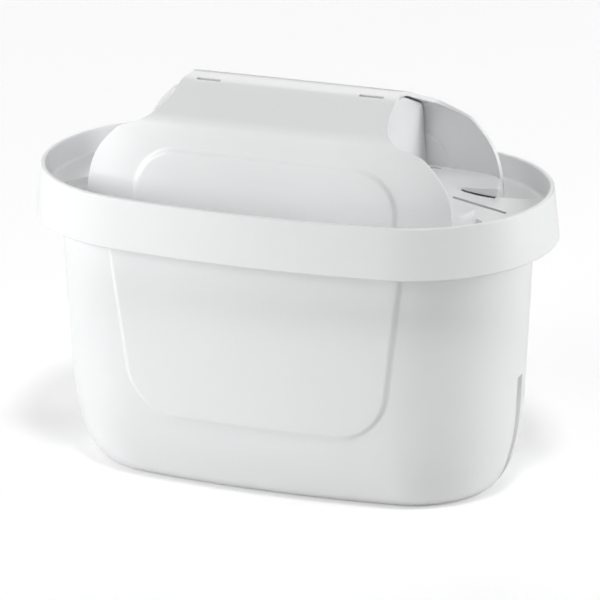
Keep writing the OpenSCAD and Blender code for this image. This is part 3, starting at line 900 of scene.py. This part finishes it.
def roof_face(y, s):
    """Height and turn of the roof's face at a half width: crowned strip, rounded edge or slope."""
    grip = settings().grip
    strip_end = grip.crown_radius * math.sin(s["crown"])
    if y > s["roof"].x:
        return s["roof"].y - (y - s["roof"].x) * math.tan(grip.roof_slope), math.pi / 2 - grip.roof_slope
    if y > strip_end:
        angle = math.asin((y - s["edge"].x) / grip.ridge_edge)
        return s["edge"].y + grip.ridge_edge * math.cos(angle), math.pi / 2 - angle
    angle = math.asin(y / grip.crown_radius)
    return grip.ridge_top - grip.crown_radius * (1 - math.cos(angle)), math.pi / 2 - angle


def side_half(z):
    """Half width of the grip's middle at a height on its side."""
    low = grip_section()["low"]
    return low.x + (low.y - z) * math.tan(settings().grip.side_draft)


def bezier(points, t):
    """Point of a cubic curve at a share of its length."""
    p0, p1, p2, p3 = (Vector(p) for p in points)
    return (1 - t) ** 3 * p0 + 3 * (1 - t) ** 2 * t * p1 + 3 * (1 - t) * t * t * p2 + t ** 3 * p3


def bell_half_length(z):
    """Half length of the grip at a height: a bell with a neck, rounded at the ridge."""
    grip = settings().grip
    deck = rim_heights()["deck"]
    turn_x = (grip.foot_half + grip.neck_half) / 2 + 1.65 * MM
    turn_z = grip.ridge_top - grip.bell_drop
    rise = turn_z - deck
    neck_rise = 0.9 * grip.bell_drop
    lower = [(grip.foot_half, deck - 0.9 * MM), (grip.foot_half, deck + 0.51 * rise),
             (turn_x + 5.02 * MM, turn_z - 4.89 * MM), (turn_x, turn_z)]
    upper = [(turn_x, turn_z), (turn_x - 1.35 * MM, turn_z + 1.31 * MM),
             (grip.neck_half, turn_z + 0.327 * neck_rise), (grip.neck_half, turn_z + neck_rise)]
    if z >= upper[3][1]:
        sine = min(1.0, max(0.0, z - grip.ridge_top + grip.ridge_end) / grip.ridge_end)
        return grip.neck_half - grip.ridge_end * (1 - math.sqrt(1 - sine * sine))
    curve = lower if z < turn_z else upper
    low, high = 0.0, 1.0
    for _ in range(30):
        middle = (low + high) / 2
        if bezier(curve, middle).y < z:
            low = middle
        else:
            high = middle
    return bezier(curve, low).x


def plan_share(x):
    """Share of the grip's width that is left at a distance along it."""
    return max(0.0, 1 - (abs(x) / settings().grip.plan_half) ** 4) ** 0.25


def grip_columns():
    """Columns of the grip's sheet: (distance along it, share of the end stretch) from the middle out."""
    grip = settings().grip
    core = stations((0.0, None), (grip.vent_x - grip.vent_length / 2, 1.6 * MM),
                    (grip.vent_x + grip.vent_length / 2, 0.6 * MM))
    shares = [i / 56 for i in range(1, 57)]
    half = [(x, 0.0) for x in core] + [(core[-1], s) for s in shares]
    return [(-x, -s) for x, s in reversed(half[1:])] + half


def grip_sheet(bm):
    """Thin arched sheet with raised panels, vents and bell-shaped ends."""
    grip = settings().grip
    rows = grip_rows()
    full = [(-y, z) for y, z, _ in rows] + [(y, z) for y, z, _ in reversed(rows[:-1])]
    columns = grip_columns()
    ends = [bell_half_length(z) for _, z in full]
    panel_low = grip.panel_top - 40.0 * MM
    section = grip_section()
    draft = Vector((0.0, math.cos(grip.side_draft), math.sin(grip.side_draft)))
    steps = []

    def place(i, j):
        x, share = columns[i]
        y, z = full[j]
        along = x + share * (ends[j] - abs(x))
        point = Vector((along, y * plan_share(along), z))
        if z < section["low"].y:
            panel = rounded_box_distance(along, z - panel_low, grip.panel_half, grip.panel_top - panel_low,
                                         grip.panel_radius)
            rise = grip.panel_rise * step_down(panel, 1.0 * MM)
            step = Vector((0.0, math.copysign(draft.y, y), draft.z)) * rise
            point += step
            steps.append((point, step))
        return point

    def is_vent(i, j):
        x = (columns[i][0] + columns[i + 1][0]) / 2
        y = (full[j][0] + full[j + 1][0]) / 2
        on_length = abs(abs(x) - grip.vent_x) < grip.vent_length / 2 and columns[i][1] == columns[i + 1][1] == 0.0
        return on_length and abs(abs(y) - grip.vent_y) < grip.vent_width / 2

    part = mapped_grid(len(columns), len(full), place, is_vent)
    bmesh.ops.recalc_face_normals(part, faces=part.faces)
    outside = sum(f.normal.z * f.calc_area() for f in part.faces)
    if outside < 0:
        bmesh.ops.reverse_faces(part, faces=part.faces)
    outer = set(part.verts)
    bmesh.ops.solidify(part, geom=list(part.faces), thickness=grip.wall)
    tree = KDTree(len(steps))
    for index, (point, _) in enumerate(steps):
        tree.insert(point, index)
    tree.balance()
    part.normal_update()
    moves = []
    for vert in part.verts:
        if vert not in outer:
            _, index, distance = tree.find(vert.co - vert.normal * grip.wall)
            if distance < 0.5 * grip.wall:
                moves.append((vert, steps[index][1]))
    for vert, step in moves:
        vert.co -= step
    rim_edges = [e for e in part.edges if e.calc_face_angle(0.0) > math.radians(60)]
    round_edges(part, rim_edges, 0.38 * MM, 4)
    add_mesh(bm, part)


def end_walls(bm):
    """Flat wall across each end of the grip, a thin gap below the roof."""
    grip = settings().grip
    share = plan_share(grip.end_wall_x)
    half = []
    for y, z, angle in grip_rows():
        inset = grip.wall + grip.end_gap
        half.append(((y - inset * math.cos(angle)) * share, z - inset * math.sin(angle)))
    outline = [(-y, z) for y, z in half] + [(y, z) for y, z in reversed(half[:-1])]
    part = bmesh.new()
    back = grip.end_wall_x - grip.end_wall
    edges = []
    verts = [part.verts.new((back, y, z)) for y, z in outline]
    for i, vert in enumerate(verts):
        edges.append(part.edges.new((vert, verts[(i + 1) % len(verts)])))
    face = bmesh.ops.edgeloop_fill(part, edges=edges)["faces"]
    made = bmesh.ops.extrude_face_region(part, geom=face)["geom"]
    front = [g for g in made if isinstance(g, bmesh.types.BMVert)]
    bmesh.ops.translate(part, verts=front, vec=(grip.end_wall, 0, 0))
    bmesh.ops.recalc_face_normals(part, faces=part.faces)
    front_face = next(g for g in made if isinstance(g, bmesh.types.BMFace) and len(g.verts) > 4)
    foot_z = half[0][1]
    round_edges(part, [e for e in front_face.edges if max(v.co.z for v in e.verts) > foot_z + 1e-6], 0.25 * MM, 3)
    mirrored_end(part)
    add_mesh(bm, part)


def tongue_edge(x):
    """Half width of the sloping tongue at a distance along the lid."""
    pocket = settings().pocket
    return pocket.tongue_half + pocket.tongue_flare * (x - pocket.tongue_neck) ** 2


def lobe_edge(x):
    """Half width of the pocket's floor, to the middle of the grip's wall."""
    return (side_half(settings().pocket.floor) - settings().grip.wall / 2) * plan_share(x)


def pocket_lines(x):
    """Lines across the pocket's floor at a distance along it, from its middle to one side, with their kinds."""
    pocket = settings().pocket
    grip = settings().grip
    soft = 0.25 * MM
    half_slit = pocket.slit_width / 2
    edge = tongue_edge(max(x, pocket.tongue_start))
    slit = edge - 0.8 * pocket.slit_width
    lines = [(0.0, "middle"), (half_slit, "tongue")]
    lines += [(half_slit + (slit - half_slit) * k / 7, "tongue") for k in range(1, 7)]
    lines += [(slit, "slit"), (edge, "tongue"), (edge + soft, "lobe")]
    top = max(lobe_edge(x), edge + 4 * MM)
    corner = top - grip.wall / 2 - 0.7 * MM
    corner_start = corner - 0.6 * pocket.slit_width
    lines += [(edge + soft + (corner_start - edge - soft) * k / 12, "lobe") for k in range(1, 12)]
    lines += [(corner_start, "corner"), (corner, "lobe")]
    lines += [(corner + (top - corner) * k / 4, "lobe") for k in range(1, 5)]
    return lines + [(top + soft, "outside")]


def pocket_height(x, y, kind):
    """Height of the pocket's floor: level lobes beside the walls, and a tongue that falls to the rim."""
    pocket = settings().pocket
    sunk = rim_heights()["deck"] - 0.3 * MM
    if kind in ("middle", "tongue", "slit"):
        blend = 1.5 * MM
        past = max(0.0, x - pocket.tongue_start + blend / 2)
        fall = past * past / (2 * blend) if past < blend else past - blend / 2
        return max(pocket.floor - pocket.tongue_slope * fall, sunk)
    if x < settings().grip.foot_half - 2 * MM:
        return pocket.floor
    if kind == "outside":
        return sunk
    slanted = x + pocket.lobe_slant * (abs(y) - 6.0 * MM)
    corner = rounded_box_distance(slanted, y, pocket.lobe_end, lobe_edge(x), pocket.lobe_radius)
    return sunk + (pocket.floor - sunk) * step_down(corner, 1.0 * MM)


def pocket_floors(bm):
    """Floor of each finger pocket, with its slits."""
    grip = settings().grip
    pocket = settings().pocket
    outline = oval()
    lip = settings().rim.lip_width
    far = lid_high.x - settings().rim.flare - lip
    start = grip.end_wall_x - 0.6 * MM
    corner_end = grip.end_wall_x + pocket.corner_slit
    xs = stations((start, None), (corner_end, 0.7 * MM), (pocket.slit_start, 0.6 * MM),
                  (pocket.side_slit_end, 0.35 * MM), (pocket.lobe_end + 0.6 * MM, 0.2 * MM),
                  (pocket.slit_end, 0.5 * MM), (far, 0.6 * MM))
    table = []
    for x in xs:
        half = pocket_lines(x)
        table.append([(-y, kind) for y, kind in reversed(half[1:])] + half)
    middle = len(table[0]) // 2
    reach = outline.end_r - lip

    def place(i, j):
        x = xs[i]
        y, kind = table[i][j]
        limit = math.sqrt(max(0.0, reach ** 2 - max(0.0, x - outline.end_x) ** 2))
        return Vector((x, min(max(y, -limit), limit), pocket_height(x, y, kind)))

    def is_slit(i, j):
        x = (xs[i] + xs[i + 1]) / 2
        kind = table[i][j if j >= middle else j + 1][1]
        ends = {"middle": (pocket.slit_start, pocket.slit_end), "slit": (pocket.slit_start, pocket.side_slit_end),
                "corner": (grip.end_wall_x, corner_end)}.get(kind, (0.0, 0.0))
        return ends[0] < x < ends[1]

    part = mapped_grid(len(xs), len(table[0]), place, is_slit)
    bmesh.ops.dissolve_degenerate(part, dist=1e-6, edges=part.edges)
    bmesh.ops.recalc_face_normals(part, faces=part.faces)
    if sum(f.normal.z * f.calc_area() for f in part.faces) < 0:
        bmesh.ops.reverse_faces(part, faces=part.faces)
    bmesh.ops.solidify(part, geom=list(part.faces), thickness=pocket.thickness)
    mirrored_end(part)
    add_mesh(bm, part)


def lid_mesh():
    bm = bmesh.new()
    rim_and_deck(bm)
    grip_sheet(bm)
    end_walls(bm)
    pocket_floors(bm)
    return bm


# Stage

def look_axes(azimuth, elevation, roll):
    """Right, up and back axes of a camera that looks at the object."""
    back = Vector((math.sin(azimuth) * math.cos(elevation), -math.cos(azimuth) * math.cos(elevation),
                   math.sin(elevation)))
    right = Vector((math.cos(azimuth), math.sin(azimuth), 0.0))
    up = back.cross(right)
    turned = math.cos(roll) * right + math.sin(roll) * up
    return turned, back.cross(turned), back


def add_camera(stage):
    right, up, back = look_axes(stage.azimuth, stage.elevation, stage.roll)
    data = bpy.data.cameras.new("Camera")
    data.sensor_width = 36.0
    size = stage.picture_size
    data.lens = stage.pixels_per_metre * stage.distance / size * data.sensor_width
    data.shift_x = (size / 2 - stage.target_x) / size
    data.shift_y = (stage.target_y - size / 2) / size
    data.clip_start = 0.01
    data.clip_end = 50.0
    camera = bpy.data.objects.new("Camera", data)
    target = Vector((0.0, 0.0, stage.target_height))
    basis = Matrix((right, up, back)).transposed().to_4x4()
    camera.matrix_world = Matrix.Translation(target + back * stage.distance) @ basis
    bpy.context.scene.collection.objects.link(camera)
    bpy.context.scene.camera = camera


# Lamps: name, azimuth from the front and elevation in degrees, power in watts, share of the full size
SOFTBOXES = (
    ("Left front softbox", -45, 11, 5.5, 1.0), ("Left softbox", -80, 8, 2.6, 1.0),
    ("Left rear softbox", -120, 22, 1.1, 1.0), ("Right softbox", 108, 8, 2.9, 1.0),
    ("High right softbox", 108, 22, 2.7, 1.0), ("Right rear softbox", 148, 22, 0.9, 1.0),
    ("Fill", 21, 30, 0.3, 1.0), ("Back light", 200, 30, 1.5, 1.0), ("Key", 29, 66, 2.6, 0.3))


def add_softbox(name, azimuth, elevation, power, share):
    """Area light that faces the object from a direction."""
    a, e = math.radians(azimuth), math.radians(elevation)
    back = Vector((math.sin(a) * math.cos(e), -math.cos(a) * math.cos(e), math.sin(e)))
    data = bpy.data.lights.new(name, "AREA")
    data.shape = "RECTANGLE"
    data.size = 0.42 * share
    data.size_y = 0.6 * share
    data.energy = power
    light = bpy.data.objects.new(name, data)
    light.matrix_world = (Matrix.Translation(Vector((0, 0, 0.04)) + back * 0.9)
                          @ back.to_track_quat("Z", "Y").to_matrix().to_4x4())
    bpy.context.scene.collection.objects.link(light)


def add_floor(stage):
    bm = bmesh.new()
    bmesh.ops.create_grid(bm, x_segments=8, y_segments=8, size=stage.floor_size / 2)
    mesh = bpy.data.meshes.new("Floor")
    bm.to_mesh(mesh)
    bm.free()
    floor = bpy.data.objects.new("Floor", mesh)
    bpy.context.scene.collection.objects.link(floor)
    material, nodes, links, shader = new_material("Studio floor")
    shader.inputs["Roughness"].default_value = 0.9
    shader.inputs["Specular IOR Level"].default_value = 0.0
    place = nodes.new("ShaderNodeTexCoord")
    mottle = nodes.new("ShaderNodeTexNoise")
    mottle.inputs["Scale"].default_value = 3.0
    links.new(place.outputs["Object"], mottle.inputs["Vector"])
    tone = nodes.new("ShaderNodeMix")
    tone.data_type = "RGBA"
    tone.inputs["A"].default_value = (0.84, 0.84, 0.84, 1.0)
    tone.inputs["B"].default_value = (0.86, 0.86, 0.86, 1.0)
    links.new(mottle.outputs["Fac"], tone.inputs["Factor"])
    links.new(tone.outputs["Result"], shader.inputs["Base Color"])
    rays = nodes.new("ShaderNodeLightPath")
    seen = nodes.new("ShaderNodeMath")
    seen.operation = "MULTIPLY"
    seen.inputs[1].default_value = stage.floor_glow
    links.new(rays.outputs["Is Camera Ray"], seen.inputs[0])
    shader.inputs["Emission Color"].default_value = (1.0, 1.0, 1.0, 1.0)
    links.new(seen.outputs[0], shader.inputs["Emission Strength"])
    mesh.materials.append(material)


def set_world(stage):
    world = bpy.data.worlds.new("Studio")
    world.use_nodes = True
    bpy.context.scene.world = world
    nodes, links = world.node_tree.nodes, world.node_tree.links
    background = nodes["Background"]
    background.inputs["Color"].default_value = (1.0, 1.0, 1.0, 1.0)
    rays = nodes.new("ShaderNodeLightPath")
    strength = nodes.new("ShaderNodeMapRange")
    strength.inputs["To Min"].default_value = stage.sky
    strength.inputs["To Max"].default_value = 1.0
    links.new(rays.outputs["Is Camera Ray"], strength.inputs["Value"])
    links.new(strength.outputs["Result"], background.inputs["Strength"])


# Operators

class CARTRIDGE_OT_cup(bpy.types.Operator):
    """Make the smooth cup with its panels, key grooves and outlet slits"""
    bl_idname = "cartridge.cup"
    bl_label = "Add Cup"

    def execute(self, context):
        finish_piece(cup_mesh(), "cup_moulding", white_plastic(), "cup")
        return {"FINISHED"}


class CARTRIDGE_OT_lid(bpy.types.Operator):
    """Make the smooth lid with its rim, arched grip and finger pockets"""
    bl_idname = "cartridge.lid"
    bl_label = "Add Lid"

    def execute(self, context):
        finish_piece(lid_mesh(), "lid_moulding", white_plastic(), "lid")
        return {"FINISHED"}


class CARTRIDGE_OT_insides(bpy.types.Operator):
    """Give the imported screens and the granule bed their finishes"""
    bl_idname = "cartridge.insides"
    bl_label = "Finish Insides"

    def execute(self, context):
        screen = woven_screen()
        for name, material in (("inlet_screen", screen), ("outlet_screen", screen), ("filter_media", granule_bed())):
            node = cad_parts[name]
            node.data.materials.clear()
            node.data.materials.append(material)
        return {"FINISHED"}


class CARTRIDGE_OT_stage(bpy.types.Operator):
    """Set up the floor, the soft lights and the camera"""
    bl_idname = "cartridge.stage"
    bl_label = "Set Stage"

    def execute(self, context):
        stage = settings().stage
        add_floor(stage)
        set_world(stage)
        for name, azimuth, elevation, power, share in SOFTBOXES:
            add_softbox(name, azimuth, elevation, power, share)
        add_camera(stage)
        context.scene.view_settings.view_transform = "Standard"
        return {"FINISHED"}


class CARTRIDGE_PT_sidebar(bpy.types.Panel):
    """Steps that build the cartridge"""
    bl_label = "Filter Cartridge"
    bl_idname = "CARTRIDGE_PT_sidebar"
    bl_space_type = "VIEW_3D"
    bl_region_type = "UI"
    bl_category = "Cartridge"

    def draw(self, context):
        for operator in OPERATORS:
            self.layout.operator(operator.bl_idname)
        for group in ("rim", "cup", "grip", "pocket", "finish", "stage"):
            values = getattr(context.scene.cartridge, group)
            box = self.layout.box()
            box.label(text=group.capitalize())
            for name in values.__annotations__:
                box.prop(values, name)


class CartridgeSettings(bpy.types.PropertyGroup):
    rim: PointerProperty(type=RimSettings, name="Rim", description="Sizes of the rim")
    cup: PointerProperty(type=CupSettings, name="Cup", description="Sizes of the cup")
    grip: PointerProperty(type=GripSettings, name="Grip", description="Sizes of the grip")
    pocket: PointerProperty(type=PocketSettings, name="Pocket", description="Sizes of the finger pockets")
    finish: PointerProperty(type=FinishSettings, name="Finish", description="Colours and gloss")
    stage: PointerProperty(type=StageSettings, name="Stage", description="Camera, floor and light")


GROUPS = (RimSettings, CupSettings, GripSettings, PocketSettings, FinishSettings, StageSettings, CartridgeSettings)
OPERATORS = (CARTRIDGE_OT_cup, CARTRIDGE_OT_lid, CARTRIDGE_OT_insides, CARTRIDGE_OT_stage)


def register():
    for group in GROUPS + OPERATORS + (CARTRIDGE_PT_sidebar,):
        bpy.utils.register_class(group)
    bpy.types.Scene.cartridge = PointerProperty(type=CartridgeSettings)


def unregister():
    del bpy.types.Scene.cartridge
    for group in reversed(GROUPS + OPERATORS + (CARTRIDGE_PT_sidebar,)):
        bpy.utils.unregister_class(group)


def main():
    register()
    bpy.ops.cartridge.cup()
    bpy.ops.cartridge.lid()
    bpy.ops.cartridge.insides()
    bpy.ops.cartridge.stage()


if __name__ == "__main__":
    main()
